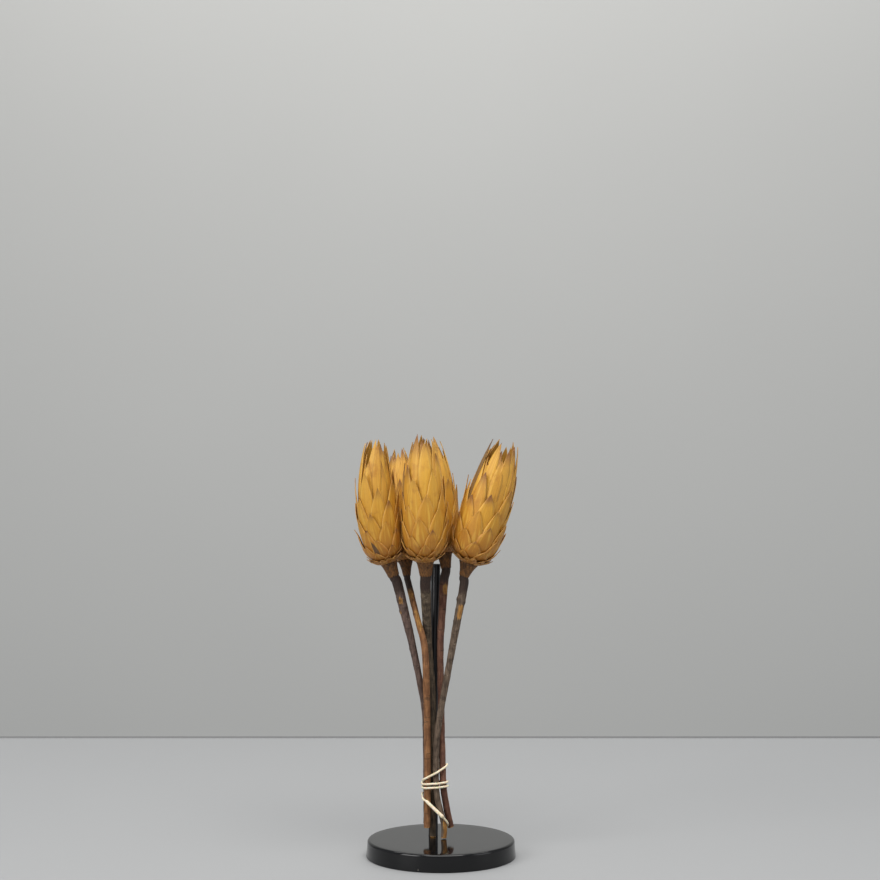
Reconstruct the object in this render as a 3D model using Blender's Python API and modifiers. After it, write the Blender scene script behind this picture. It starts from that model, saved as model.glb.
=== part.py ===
"""A bunch of five dried protea flower heads on woody stems, bound by a rubber band to the post of a round stand.

Metres, +Z up. The origin is the centre of the stand's flat underside, and -Y is the front.
"""

import math

import bmesh
import bpy
from mathutils import Vector
from mathutils.geometry import interpolate_bezier

MM = 0.001

# Stand: a heavy round base, a thin post that stands in it, and the screw that holds the post from below.
BASE_RADIUS = 64.0 * MM
BASE_FOOT_RADIUS = 65.0 * MM
BASE_HEIGHT = 15.0 * MM
BASE_TOP_ROUND = 2.4 * MM
BASE_FOOT_HEIGHT = 2.0 * MM
BASE_STEPS = 48
POST_RADIUS = 4.0 * MM
POST_FOOT = Vector((-6.9, 11.8, 8.3)) * MM
POST_TOP = Vector((-4.6, 14.0, 252.5)) * MM
POST_STEPS = 24
POST_TOP_EDGE = 0.6 * MM
SOCKET_FLOOR = 8.0 * MM
SCREW_HEAD_RADIUS = 3.9 * MM
SCREW_HEAD_TOP = 3.7 * MM
SCREW_HEAD_BOTTOM = 1.0 * MM
SCREW_RADIUS = 2.0 * MM
SCREW_TIP = 18.0 * MM
SCREW_STEPS = 16
COUNTERBORE_DEPTH = 4.2 * MM
FIT_GAP = 0.35 * MM

# Flower heads: rings of stiff bracts stand inside each other round a cone, the receptacle, at the stem's end.
BRACTS_IN_RING = 8
RING_TIPS = (0.12, 0.26, 0.35, 0.5, 0.62, 0.8, 1.0)
RING_NOTCHES = (0.05, 0.14, 0.22, 0.36, 0.47, 0.64, 0.85)
RING_TURN = math.radians(8 * 137.508 % 45)
HEAD_STATIONS = (0.0, 0.05, 0.12, 0.35, 0.62, 0.85, 1.0)
HEAD_FOOT_SHARE = 0.43
HEAD_BELLY = 0.37
HEAD_TOP_SHARE = 0.5
BRACT_THICKNESS = 0.5 * MM
BRACT_PITCH = 1.2 * MM
CONE_GAP = 0.9 * MM
CONE_HEIGHT = 6.6 * MM
SCALE_THICKNESS = 0.7 * MM
SCALE_GAP = 0.6 * MM
NECK_LENGTH = 13.0 * MM
NECK_SHARES = ((-9.0, 0.2), (-6.0, 0.4), (-3.0, 0.66), (0.0, 1.0))
STEM_SIDES_RESOLUTION = 3
STEM_STEPS = 2

# Each flower: the points its stem passes and its radius there, the three points that bend the head's axis,
# and the head's greatest radius. All in millimetres.
FLOWERS = {
    "left": {
        "stem": (
            (-13.0, 5.9, 27.0, 2.4),
            (-13.0, 5.9, 61.0, 2.5),
            (-13.9, 5.5, 118.0, 2.5),
            (-17.4, 4.6, 145.0, 2.7),
            (-24.3, 2.0, 180.0, 3.1),
            (-30.3, -1.0, 206.0, 3.7),
            (-37.8, -6.0, 237.0, 4.4),
        ),
        "axis": ((-45.3, -9.0, 256.0), (-60.2, -14.0, 297.5), (-54.9, -17.0, 362.0)),
        "radius": 18.9,
        "turn": 0.3,
    },
    "back_left": {
        "stem": (
            (-12.1, -0.4, 24.7, 2.8),
            (-11.7, -0.4, 61.0, 2.9),
            (-12.0, -1.2, 110.0, 2.9),
            (-12.6, -2.6, 145.0, 2.9),
            (-14.1, -3.4, 180.0, 2.9),
            (-20.5, -1.2, 206.0, 2.6),
            (-28.2, 8.6, 235.0, 2.8),
        ),
        "axis": ((-31.0, 14.0, 255.0), (-35.2, 26.5, 300.0), (-38.0, 35.0, 355.0)),
        "radius": 16.2,
        "turn": 0.9,
    },
    "front": {
        "stem": (
            (-7.2, 4.9, 15.4, 2.6),
            (-7.2, 4.9, 61.0, 2.6),
            (-7.0, 4.9, 132.0, 2.8),
            (-9.6, 5.0, 165.0, 3.2),
            (-11.6, 4.2, 188.0, 3.7),
            (-12.4, -0.5, 208.0, 4.0),
            (-13.5, -10.0, 235.0, 4.7),
        ),
        "axis": ((-13.7, -16.0, 257.5), (-15.2, -23.5, 302.0), (-14.5, -25.0, 366.0)),
        "radius": 20.0,
        "turn": 0.0,
    },
    "back_right": {
        "stem": (
            (8.5, 5.6, 24.0, 2.8),
            (4.8, 3.6, 41.0, 2.9),
            (2.0, 1.6, 61.0, 2.9),
            (0.9, 2.0, 93.0, 2.8),
            (0.0, 4.0, 132.0, 2.8),
            (-0.6, 4.6, 180.0, 2.9),
            (0.7, 5.2, 206.0, 3.2),
            (2.6, 7.0, 238.0, 3.9),
        ),
        "axis": ((3.0, 10.0, 262.0), (-1.6, 20.0, 305.0), (-9.0, 24.0, 363.0)),
        "radius": 17.2,
        "turn": 0.5,
    },
    "right": {
        "stem": (
            (2.3, -1.8, 15.9, 2.4),
            (2.8, -1.8, 25.0, 2.5),
            (0.9, -1.8, 34.0, 2.5),
            (-3.2, -1.4, 50.0, 2.7),
            (-4.3, -1.2, 66.0, 2.6),
            (-4.3, -1.8, 85.0, 2.6),
            (-2.6, -2.8, 111.0, 2.8),
            (5.6, -3.4, 158.0, 2.8),
            (14.4, -4.2, 206.0, 3.3),
            (19.9, -5.0, 236.0, 3.9),
        ),
        "axis": ((24.2, -7.0, 256.0), (38.2, -12.0, 297.0), (56.0, -14.0, 360.5)),
        "radius": 22.0,
        "turn": 0.1,
    },
}

# Rubber band: its lower end hooks round the right-hand stem, which ends on the base, and it then winds up the bunch.
BAND_RADIUS = 0.9 * MM
BAND_GAP = 0.45 * MM
BAND_STEP = math.radians(20)
HOOK_STEMS = ("left", "back_left", "front", "right")
BAND_TURNS = ((35, 26.0), (-10, 28.5), (-91, 36.0), (-99, 48.0), (-180, 52.5), (-360, 60.6), (-540, 58.8),
              (-720, 64.2), (-900, 62.0), (-1080, 79.3), (-1250, 65.8))
KNOT_DEGREES = -88
KNOT_HALF_LENGTH_DEGREES = 26
KNOT_SWELL = 0.55 * MM


def clear_scene():
    for old in list(bpy.data.objects):
        bpy.data.objects.remove(old, do_unlink=True)


def collection_named(name, hidden=False):
    group = bpy.data.collections.new(name)
    bpy.context.scene.collection.children.link(group)
    group.hide_render = hidden
    return group


def material(name, colour, roughness, metallic=0.0):
    made = bpy.data.materials.new(name)
    made.use_nodes = True
    shader = made.node_tree.nodes["Principled BSDF"]
    shader.inputs["Base Color"].default_value = (*colour, 1.0)
    shader.inputs["Roughness"].default_value = roughness
    shader.inputs["Metallic"].default_value = metallic
    return made


def add_object(name, data, group, finish):
    made = bpy.data.objects.new(name, data)
    group.objects.link(made)
    data.materials.append(finish)
    return made


def mesh_object(name, bm, group, finish):
    """Turns a bmesh into a named, smooth-shaded object and frees it."""
    mesh = bpy.data.meshes.new(name)
    bm.to_mesh(mesh)
    bm.free()
    mesh.shade_smooth()
    mesh.set_sharp_from_angle(angle=math.radians(35))
    return add_object(name, mesh, group, finish)


def between(table, at):
    """Straight-line reading of a table of (position, value) pairs in rising order."""
    for (low, low_value), (high, high_value) in zip(table, table[1:]):
        if at <= high:
            return low_value + (high_value - low_value) * (at - low) / (high - low)
    return table[-1][1]


# ---------------------------------------------------------------- stand


def turned(name, profile, steps, group, finish):
    """A solid of revolution about Z. The profile's (radius, height) points run down its outer side."""
    mesh = bpy.data.meshes.new(name)
    points = [(radius, 0.0, height) for radius, height in profile]
    edges = [(i, i + 1) for i in range(len(points) - 1)]
    mesh.from_pydata(points, edges, [])
    made = add_object(name, mesh, group, finish)
    screw = made.modifiers.new("turn", "SCREW")
    screw.steps = screw.render_steps = steps
    screw.use_merge_vertices = True
    screw.merge_threshold = 0.00001
    screw.use_smooth_shade = True
    return made


def cut(target, cutter):
    boolean = target.modifiers.new("cut " + cutter.name, "BOOLEAN")
    boolean.operation = "DIFFERENCE"
    boolean.object = cutter


def cylinder(name, radius, foot, top, steps, group, finish):
    """A cylinder from foot to top, placed by its object's location and rotation."""
    bm = bmesh.new()
    length = (top - foot).length
    bmesh.ops.create_cone(bm, cap_ends=True, segments=steps, radius1=radius, radius2=radius, depth=length)
    bmesh.ops.translate(bm, verts=bm.verts, vec=(0.0, 0.0, length / 2))
    made = mesh_object(name, bm, group, finish)
    made.location = foot
    made.rotation_mode = "QUATERNION"
    made.rotation_quaternion = Vector((0, 0, 1)).rotation_difference(top - foot)
    return made


def make_cutter(name, radius, foot, top, steps, group, finish):
    made = cylinder(name, radius, foot, top, steps, group, finish)
    made.hide_render = True
    made.display_type = "WIRE"
    return made


def base_profile():
    points = [(0.0, BASE_HEIGHT)]
    centre = (BASE_RADIUS - BASE_TOP_ROUND, BASE_HEIGHT - BASE_TOP_ROUND)
    for degrees in (90, 60, 30, 0):
        angle = math.radians(degrees)
        points.append((centre[0] + BASE_TOP_ROUND * math.cos(angle), centre[1] + BASE_TOP_ROUND * math.sin(angle)))
    points += [(BASE_FOOT_RADIUS, BASE_FOOT_HEIGHT), (BASE_FOOT_RADIUS - 0.6 * MM, 0.0), (0.0, 0.0)]
    return points


def make_stand(group, cutters, lacquer, post_paint, steel):
    axis = (POST_TOP - POST_FOOT).normalized()
    base = turned("stand_base", base_profile(), BASE_STEPS, group, lacquer)
    post = cylinder("stand_post", POST_RADIUS, POST_FOOT, POST_TOP, POST_STEPS, group, post_paint)
    below = POST_FOOT - axis * (POST_FOOT.z + 2 * MM)

    socket = make_cutter("socket_cutter", POST_RADIUS + FIT_GAP, POST_FOOT - axis * (POST_FOOT.z - SOCKET_FLOOR),
                         POST_FOOT + axis * 2 * BASE_HEIGHT, POST_STEPS, cutters, steel)
    passage = make_cutter("passage_cutter", SCREW_RADIUS + FIT_GAP, below, POST_FOOT + axis * 2 * MM,
                          SCREW_STEPS, cutters, steel)
    counterbore = make_cutter("counterbore_cutter", SCREW_HEAD_RADIUS + FIT_GAP, below,
                              POST_FOOT - axis * (POST_FOOT.z - COUNTERBORE_DEPTH), SCREW_STEPS, cutters, steel)
    thread = make_cutter("thread_cutter", SCREW_RADIUS + FIT_GAP, POST_FOOT - axis * 2 * MM,
                         POST_FOOT + axis * (SCREW_TIP - POST_FOOT.z + MM), SCREW_STEPS, cutters, steel)
    for cutter in (socket, passage, counterbore):
        cut(base, cutter)
    cut(post, thread)

    edge = post.modifiers.new("top edge", "BEVEL")
    edge.width = POST_TOP_EDGE
    edge.segments = 2
    edge.limit_method = "WEIGHT"
    weights = post.data.attributes.new("bevel_weight_edge", "FLOAT", "EDGE")
    top = max(vertex.co.z for vertex in post.data.vertices)
    for line in post.data.edges:
        ends = [post.data.vertices[index].co.z for index in line.vertices]
        weights.data[line.index].value = 1.0 if min(ends) > top - MM else 0.0

    profile = [(0.0, SCREW_TIP), (SCREW_RADIUS - 0.4 * MM, SCREW_TIP), (SCREW_RADIUS, SCREW_TIP - 0.6 * MM),
               (SCREW_RADIUS, SCREW_HEAD_TOP), (SCREW_HEAD_RADIUS, SCREW_HEAD_TOP),
               (SCREW_HEAD_RADIUS, SCREW_HEAD_BOTTOM + 0.8 * MM), (SCREW_HEAD_RADIUS - 0.8 * MM, SCREW_HEAD_BOTTOM),
               (0.0, SCREW_HEAD_BOTTOM)]
    screw = turned("post_screw", profile, SCREW_STEPS, group, steel)
    screw.location = POST_FOOT - axis * POST_FOOT.z
    screw.rotation_mode = "QUATERNION"
    screw.rotation_quaternion = Vector((0, 0, 1)).rotation_difference(axis)


# ---------------------------------------------------------------- flower heads


def head_of(flower):
    """The head's axis as three points in metres, its length along the axis and its greatest radius."""
    axis = [Vector(point) * MM for point in flower["axis"]]
    chords = (axis[1] - axis[0]).length + (axis[2] - axis[1]).length
    length = (chords + (axis[2] - axis[0]).length) / 2
    return {"axis": axis, "length": length, "radius": flower["radius"] * MM, "turn": flower["turn"]}


def axis_at(head, along):
    """The point on the head's bent axis at a distance along it, and the axis's direction there."""
    start, middle, end = head["axis"]
    share = max(along / head["length"], 0.0)
    point = start * (1 - share) ** 2 + middle * 2 * share * (1 - share) + end * share**2
    direction = ((middle - start) * (1 - share) + (end - middle) * share).normalized()
    return point + direction * min(along, 0.0), direction


def bend(head, bm):
    """Moves a shape modelled round a straight Z axis onto the head's bent axis."""
    for vertex in bm.verts:
        centre, direction = axis_at(head, vertex.co.z)
        turn = Vector((0, 0, 1)).rotation_difference(direction)
        vertex.co = centre + turn @ Vector((vertex.co.x, vertex.co.y, 0.0))


def head_outline(head, share):
    """(radius, height) of the head's outer face at a share of its length."""
    foot = HEAD_FOOT_SHARE * head["radius"]
    if share < HEAD_BELLY:
        radius = foot + (head["radius"] - foot) * (1 - (1 - share / HEAD_BELLY) ** 5)
    else:
        radius = head["radius"] * (1 - (1 - HEAD_TOP_SHARE) * ((share - HEAD_BELLY) / (1 - HEAD_BELLY)) ** 2.2)
    return Vector((radius, share * head["length"]))


def ring_stations(head, ring):
    """(share, (radius, height)) down a ring of bracts: the outline, set in by one pitch for each ring outside it."""
    outside = [(0.0, -0.6)] + [(tip, index) for index, tip in enumerate(RING_TIPS)]
    made = []
    for index, share in enumerate(HEAD_STATIONS):
        before = head_outline(head, HEAD_STATIONS[max(index - 1, 0)])
        after = head_outline(head, HEAD_STATIONS[min(index + 1, len(HEAD_STATIONS) - 1)])
        outward = Vector(((after - before).y, -(after - before).x)).normalized()
        depth = BRACT_PITCH * (ring - between(outside, share))
        made.append((share, head_outline(head, share) - outward * depth))
    return made


def open_rings(bm, columns, rows, first_angle):
    """An open tube of rings round Z. Each row gives (radius, height) for a column by its number."""
    step = 2 * math.pi / columns
    made = bmesh.ops.create_circle(bm, segments=columns, radius=1.0)
    fresh = made["verts"]
    bmesh.ops.rotate(bm, verts=fresh, cent=(0, 0, 0), matrix=rotation_about_z(first_angle))
    for number, row in enumerate(rows):
        if number:
            rim = [edge for edge in bm.edges if edge.verts[0] in fresh and edge.verts[1] in fresh]
            made = bmesh.ops.extrude_edge_only(bm, edges=rim)
            fresh = [item for item in made["geom"] if isinstance(item, bmesh.types.BMVert)]
        fresh = set(fresh)
        for vertex in fresh:
            angle = math.atan2(vertex.co.y, vertex.co.x)
            column = round((angle - first_angle) / step) % columns
            radius, height = row(column)
            vertex.co = (radius * math.cos(angle), radius * math.sin(angle), height)
    bmesh.ops.remove_doubles(bm, verts=bm.verts, dist=0.00001)
    bmesh.ops.recalc_face_normals(bm, faces=bm.faces)
    face = max(bm.faces, key=lambda item: item.calc_area())
    centre = face.calc_center_median()
    if face.normal.x * centre.x + face.normal.y * centre.y < 0:
        bmesh.ops.reverse_faces(bm, faces=bm.faces)


def rotation_about_z(angle):
    turn = Vector((1, 0, 0)).rotation_difference(Vector((math.cos(angle), math.sin(angle), 0)))
    return turn.to_matrix()


def thicken(shell, thickness):
    solidify = shell.modifiers.new("thickness", "SOLIDIFY")
    solidify.thickness = thickness
    solidify.offset = -1.0


def make_bract_ring(name, head, ring, group, finish):
    """One ring of bracts, grown together at its foot and parted into pointed tips above."""
    columns = 2 * BRACTS_IN_RING
    stations = ring_stations(head, ring)

    def at(share):
        for (low, low_point), (high, high_point) in zip(stations, stations[1:]):
            if share <= high:
                return low_point.lerp(high_point, (share - low) / (high - low))
        return stations[-1][1]

    def level(share):
        return lambda column: at(share)

    def rim(column):
        return at(RING_TIPS[ring] if column % 2 == 0 else RING_NOTCHES[ring])

    shares = [share for share in HEAD_STATIONS if share < RING_NOTCHES[ring]] + [RING_NOTCHES[ring]]
    bm = bmesh.new()
    open_rings(bm, columns, [level(share) for share in shares] + [rim], head["turn"] + ring * RING_TURN)
    bend(head, bm)
    thicken(mesh_object(name, bm, group, finish), BRACT_THICKNESS)


def cone_radius(head, along=0.0):
    """The cone's radius, which keeps clear of the line on which the feet of all the rings stand."""
    outer = ring_stations(head, 0)[0][1]
    inner = ring_stations(head, len(RING_TIPS) - 1)[0][1]
    return outer.x + (along - outer.y) * (inner.x - outer.x) / (inner.y - outer.y) - CONE_GAP


def neck_radius(head, stem_radius, along):
    shares = [(-NECK_LENGTH, 0.0)] + [(position * MM, share) for position, share in NECK_SHARES]
    return stem_radius + (cone_radius(head) - stem_radius) * between(shares, along)


def make_neck_scales(name, head, stem_radius, group, finish):
    """The sleeve of small woody scales that covers the neck below the bracts."""
    columns = 2 * BRACTS_IN_RING
    thickness = SCALE_THICKNESS + SCALE_GAP

    def level(low, high):
        def row(column):
            along = (high if column % 2 == 0 else low) * MM
            return neck_radius(head, stem_radius, along) + thickness, along

        return row

    rows = [level(-11.0, -11.6), level(-9.0, -9.0), level(-6.0, -6.0), level(-3.0, -3.0), level(-1.6, -0.9)]
    bm = bmesh.new()
    open_rings(bm, columns, rows, head["turn"])
    bend(head, bm)
    thicken(mesh_object(name, bm, group, finish), SCALE_THICKNESS)


def make_florets(name, head, group, finish):
    """The dry brush of florets that fills the middle of the head."""
    length, radius = head["length"], head["radius"]
    foot = CONE_HEIGHT + 0.4 * MM
    rows = [(0.06 * radius, foot), (0.22 * radius, 0.13 * length), (0.37 * radius, 0.25 * length),
            (0.42 * radius, 0.5 * length), (0.34 * radius, 0.72 * length), (0.16 * radius, 0.86 * length)]
    bm = bmesh.new()
    open_rings(bm, 12, [lambda column, row=row: row for row in rows], head["turn"])
    bmesh.ops.holes_fill(bm, edges=[edge for edge in bm.edges if edge.is_boundary])
    bmesh.ops.recalc_face_normals(bm, faces=bm.faces)
    bend(head, bm)
    mesh_object(name, bm, group, finish)


# ---------------------------------------------------------------- stems


def stem_route(flower):
    """Smooth (x, y, z, radius) points up the stem, in metres, from its cut foot to the neck of its head."""
    head = head_of(flower)
    neck, direction = axis_at(head, -NECK_LENGTH)
    controls = [Vector(point) * MM for point in flower["stem"]]
    controls.append(Vector((*neck, controls[-1].w)))
    after = neck + direction * 2 * NECK_LENGTH
    padded = [2 * controls[0] - controls[1], *controls, Vector((*after, controls[-1].w))]
    route = [controls[0]]
    for before, start, end, following in zip(padded, padded[1:], padded[2:], padded[3:]):
        first = start + (end - before) / 6
        second = end - (following - start) / 6
        places = interpolate_bezier(start.xyz, first.xyz, second.xyz, end.xyz, STEM_STEPS + 1)
        for step in range(1, STEM_STEPS + 1):
            radius = start.w + (end.w - start.w) * step / STEM_STEPS
            route.append(Vector((*places[step], radius)))
    return route


def tube(name, points, sides_resolution, group, finish):
    """A capped tube along (x, y, z, radius) points."""
    curve = bpy.data.curves.new(name, "CURVE")
    curve.dimensions = "3D"
    curve.bevel_depth = MM
    curve.bevel_resolution = sides_resolution
    curve.use_fill_caps = True
    spline = curve.splines.new("POLY")
    spline.points.add(len(points) - 1)
    for place, point in zip(spline.points, points):
        place.co = (*point.xyz, 1.0)
        place.radius = point.w / MM
    return add_object(name, curve, group, finish)


def make_stem(name, flower, group, finish):
    """The woody stem, its swollen neck and the cone that the bracts grow on, all one piece."""
    head = head_of(flower)
    points = stem_route(flower)
    stem_radius = points[-1].w
    for position, _ in NECK_SHARES:
        along = position * MM
        centre, _ = axis_at(head, along)
        points.append(Vector((*centre, neck_radius(head, stem_radius, along))))
    for along in (CONE_HEIGHT / 2, CONE_HEIGHT):
        centre, _ = axis_at(head, along)
        points.append(Vector((*centre, cone_radius(head, along))))
    tube(name, points, STEM_SIDES_RESOLUTION, group, finish)


# ---------------------------------------------------------------- rubber band


def section(route, height):
    """(x, y, radius) where a stem's route crosses a height."""
    for low, high in zip(route, route[1:]):
        if low.z <= height <= high.z:
            place = low.lerp(high, (height - low.z) / (high.z - low.z))
            return place.x, place.y, place.w
    end = route[0] if height < route[0].z else route[-1]
    return end.x, end.y, end.w


def hull_point(routes, angle, height, clearance):
    """Where a taut band round these stems touches, for an outward direction seen from above."""
    outward = Vector((math.cos(angle), math.sin(angle)))
    rings = [section(route, height) for route in routes]
    x, y, radius = max(rings, key=lambda ring: ring[0] * outward.x + ring[1] * outward.y + ring[2])
    return Vector((x, y, height)) + Vector((*outward, 0.0)) * (radius + clearance)


def band_radius(degrees):
    closeness = max(0.0, 1 - abs(degrees - KNOT_DEGREES) / KNOT_HALF_LENGTH_DEGREES)
    return BAND_RADIUS + KNOT_SWELL * math.sin(closeness * math.pi / 2)


def make_band(group, finish):
    routes = {name: stem_route(flower) for name, flower in FLOWERS.items()}
    post = [Vector((*POST_FOOT, POST_RADIUS)), Vector((*POST_TOP, POST_RADIUS))]
    points = []
    for (start, low), (end, high) in zip(BAND_TURNS, BAND_TURNS[1:]):
        held = [routes[name] for name in HOOK_STEMS] if start > -180 else [*routes.values(), post]
        count = max(2, round(abs(math.radians(end - start)) / BAND_STEP))
        angles = [start + (end - start) * step / count for step in range(count + 1)]

        def place(degrees, height, stems=held):
            clearance = BAND_GAP + band_radius(degrees)
            return hull_point(stems, math.radians(degrees), height * MM, clearance)

        flat = [place(degrees, (low + high) / 2) for degrees in angles]
        walked = [0.0]
        for first, second in zip(flat, flat[1:]):
            walked.append(walked[-1] + (second - first).length)
        for degrees, distance in list(zip(angles, walked))[1 if points else 0:]:
            height = low + (high - low) * distance / walked[-1]
            points.append(Vector((*place(degrees, height), band_radius(degrees))))
    tube("rubber_band", points, 2, group, finish)


def main():
    clear_scene()
    group = collection_named("protea_bunch")
    cutters = collection_named("cutters", hidden=True)
    lacquer = material("black_lacquer", (0.012, 0.012, 0.013), 0.12)
    post_paint = material("black_post_paint", (0.015, 0.015, 0.016), 0.3)
    steel = material("zinc_steel", (0.6, 0.6, 0.58), 0.35, 1.0)
    bark = material("bark", (0.12, 0.07, 0.045), 0.8)
    scale_brown = material("scale_brown", (0.16, 0.07, 0.03), 0.65)
    bract_gold = material("bract_gold", (0.62, 0.34, 0.07), 0.45)
    floret_brown = material("floret_brown", (0.2, 0.11, 0.05), 0.9)
    latex = material("cream_latex", (0.8, 0.7, 0.52), 0.5)

    make_stand(group, cutters, lacquer, post_paint, steel)
    for name, flower in FLOWERS.items():
        head = head_of(flower)
        stem_radius = flower["stem"][-1][3] * MM
        make_stem(name + "_stem", flower, group, bark)
        make_neck_scales(name + "_neck_scales", head, stem_radius, group, scale_brown)
        for ring in range(len(RING_TIPS)):
            make_bract_ring(f"{name}_bracts_{ring + 1}", head, ring, group, bract_gold)
        make_florets(name + "_florets", head, group, floret_brown)
    make_band(group, latex)


main()
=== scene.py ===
import math
import random

import bmesh
import bpy
from mathutils import Matrix, Vector, noise
from mathutils.geometry import interpolate_bezier


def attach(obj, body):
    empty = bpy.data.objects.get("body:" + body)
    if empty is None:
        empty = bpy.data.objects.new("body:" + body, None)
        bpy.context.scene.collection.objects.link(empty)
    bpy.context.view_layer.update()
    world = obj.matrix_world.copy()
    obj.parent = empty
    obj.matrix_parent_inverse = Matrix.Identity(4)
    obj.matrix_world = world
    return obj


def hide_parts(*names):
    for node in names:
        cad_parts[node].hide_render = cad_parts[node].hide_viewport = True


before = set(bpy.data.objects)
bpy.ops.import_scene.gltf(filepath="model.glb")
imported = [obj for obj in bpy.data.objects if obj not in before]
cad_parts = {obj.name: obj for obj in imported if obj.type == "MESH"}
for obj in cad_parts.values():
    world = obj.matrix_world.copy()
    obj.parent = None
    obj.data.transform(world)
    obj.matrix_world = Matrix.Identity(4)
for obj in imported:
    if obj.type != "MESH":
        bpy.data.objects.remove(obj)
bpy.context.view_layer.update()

MM = 0.001

# ---- Studio ----
# A pale table with a painted shadow at its far edge, a thin dark strip, against a plain wall well behind it. A wide
# soft light hangs over the front of the table, one lights the wall, two weaker ones stand at the sides, and the room
# is evenly lit.
CAMERA_PLACE = (-0.0009, -1.59, 0.361)
CAMERA_LENS = 74.9
TABLE_BACK = 0.628
TABLE_DEPTH = 3.7
EDGE_SHADOW_HEIGHT = 0.0022
WALL_PLACE = 2.6
UPRIGHT = math.radians(90)
PANEL_CLOUD = 0.94


def node(tree, kind, inputs=None, **settings):
    """Adds a shader node. An input is a value, or the output socket that feeds it."""
    made = tree.nodes.new("ShaderNode" + kind)
    for key, value in settings.items():
        setattr(made, key, value)
    for key, value in (inputs or {}).items():
        if isinstance(value, bpy.types.NodeSocket):
            tree.links.new(value, made.inputs[key])
        else:
            made.inputs[key].default_value = value
    return made


def new_material(name, **constants):
    """A material with a Principled shader. Underscores in a constant's name stand for spaces."""
    made = bpy.data.materials.new(name)
    made.use_nodes = True
    shader = made.node_tree.nodes["Principled BSDF"]
    for key, value in constants.items():
        shader.inputs[key.replace("_", " ")].default_value = value
    return made, made.node_tree, shader


def mesh_object(name, bm, finish):
    mesh = bpy.data.meshes.new(name)
    bm.to_mesh(mesh)
    bm.free()
    mesh.materials.append(finish)
    made = bpy.data.objects.new(name, mesh)
    bpy.context.scene.collection.objects.link(made)
    return made


def stage_panel(name, width, depth, place, tilt, colour, roughness):
    finish, tree, shader = new_material(name, Roughness=roughness)
    where = node(tree, "TexCoord").outputs["Object"]
    cloud = node(tree, "TexNoise", {"Vector": where, "Scale": 1.3, "Detail": 2.0}).outputs["Fac"]
    darker = tuple(part * PANEL_CLOUD for part in colour)
    mixed = node(tree, "Mix", {"Factor": cloud, "A": (*darker, 1), "B": (*colour, 1)}, data_type="RGBA")
    tree.links.new(mixed.outputs["Result"], shader.inputs["Base Color"])
    bm = bmesh.new()
    bmesh.ops.create_grid(bm, x_segments=1, y_segments=1, size=0.5)
    bmesh.ops.scale(bm, verts=bm.verts, vec=(width, depth, 1.0))
    bmesh.ops.rotate(bm, verts=bm.verts, cent=(0, 0, 0), matrix=Matrix.Rotation(tilt, 3, "X"))
    bmesh.ops.translate(bm, verts=bm.verts, vec=place)
    mesh_object(name, bm, finish)


def soft_light(name, place, aim, size, power, colour):
    data = bpy.data.lights.new(name, "AREA")
    data.shape = "RECTANGLE"
    data.size, data.size_y = size
    data.energy = power
    data.color = colour
    lamp = bpy.data.objects.new(name, data)
    bpy.context.scene.collection.objects.link(lamp)
    lamp.location = place
    lamp.rotation_euler = (Vector(aim) - Vector(place)).to_track_quat("-Z", "Y").to_euler()


camera_data = bpy.data.cameras.new("camera")
camera_data.lens = CAMERA_LENS
camera_data.sensor_width = 36.0
camera = bpy.data.objects.new("camera", camera_data)
bpy.context.scene.collection.objects.link(camera)
camera.location = CAMERA_PLACE
camera.rotation_euler = (UPRIGHT, 0.0, 0.0)
bpy.context.scene.camera = camera

stage_panel("table_top", 7.0, TABLE_DEPTH, (0, TABLE_BACK - TABLE_DEPTH / 2, 0), 0.0, (0.36, 0.365, 0.37), 0.6)
stage_panel("back_wall", 11.0, 7.0, (0, WALL_PLACE, 1.2), UPRIGHT, (0.50, 0.50, 0.485), 0.9)
# Painted shadow: a thin dark grey strip standing on the table's far edge, where the shade line between table and
# wall falls.
stage_panel("table_edge", 7.0, EDGE_SHADOW_HEIGHT, (0, TABLE_BACK - 0.001, EDGE_SHADOW_HEIGHT / 2), UPRIGHT, (0.27, 0.27, 0.27), 0.9)
soft_light("top_light", (0.1, -0.75, 1.75), (0, 0, 0.2), (1.5, 0.9), 26, (1.0, 0.985, 0.96))
soft_light("wall_light", (0, 1.2, 2.6), (0, 2.6, 0.9), (3.5, 0.8), 45, (1.0, 0.99, 0.97))
soft_light("left_light", (-1.5, -1.2, 1.1), (0, 0, 0.2), (1.0, 1.2), 20, (1.0, 0.99, 0.98))
soft_light("right_light", (1.9, -0.7, 0.9), (0, 0, 0.2), (1.0, 1.4), 6, (0.97, 0.98, 1.0))

bpy.context.scene.view_settings.view_transform = "Standard"
world = bpy.data.worlds.new("room")
bpy.context.scene.world = world
world.use_nodes = True
world.node_tree.nodes["Background"].inputs["Color"].default_value = (0.93, 0.96, 1.0, 1.0)
world.node_tree.nodes["Background"].inputs["Strength"].default_value = 0.42

# ---- Base ----
# A turned round base in black gloss lacquer, heavy enough to hold the bunch. Its top edge is rounded over, its
# side flares a little to the foot, and it has a socket for the post above and a counterbore for a screw below.
BASE_RADIUS = 64.0 * MM
BASE_FOOT = 65.0 * MM
BASE_HEIGHT = 15.0 * MM
TOP_ROUND = 2.4 * MM
FOOT_ROUND = 0.7 * MM
BASE_STEPS = 144
POST_RADIUS = 4.0 * MM
POST_FOOT = Vector((-6.9, 11.8, 8.3)) * MM
POST_TOP = Vector((-4.6, 14.0, 252.5)) * MM
POST_AXIS = (POST_TOP - POST_FOOT).normalized()
SOCKET_FLOOR = 8.0 * MM
COUNTERBORE_TOP = 4.2 * MM
COUNTERBORE_RADIUS = 4.25 * MM
FIT_GAP = 0.35 * MM


def arc(centre, radius, first, last, steps):
    """Points on a circle in the XZ plane, from one angle in degrees to another."""
    turns = [math.radians(first + (last - first) * step / steps) for step in range(steps + 1)]
    return [Vector((centre[0] + radius * math.cos(turn), 0, centre[1] + radius * math.sin(turn))) for turn in turns]


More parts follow.
